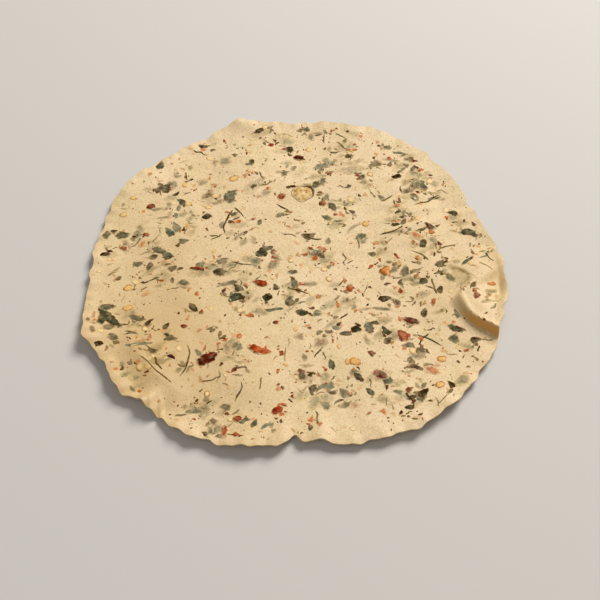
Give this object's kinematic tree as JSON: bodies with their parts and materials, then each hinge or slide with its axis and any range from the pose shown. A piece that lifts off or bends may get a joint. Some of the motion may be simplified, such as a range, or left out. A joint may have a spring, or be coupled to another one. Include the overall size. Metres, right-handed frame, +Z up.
{
  "type": "papadum",
  "caption": "Thin round raw spiced papadum: a dried lentil dough sheet with a wavy rim, a fold at one side and herb and chilli flakes pressed in.",
  "frame": {"origin": "under the middle of the sheet's box, on the surface that it lies on", "axes": "+Z up, through the sheet; +X to the right, towards the folded side; +Y to the back, away from the split in the rim"},
  "size_m": [0.168, 0.1676, 0.0066],
  "materials": {
    "dough": "matt dried lentil dough, slightly see-through",
    "herb_leaf": "dried herb leaf under a skin of dough",
    "chilli_flake": "dried chilli skin, slightly glossy",
    "chilli_seed": "dried chilli seed, slightly glossy",
    "herb_stem": "dried herb stem",
    "spice_speck": "cracked spice",
    "seed_husk": "dried see-through husk"
  },
  "bodies": {
    "root": {"papadum": "dough"}
  },
  "joints": []
}
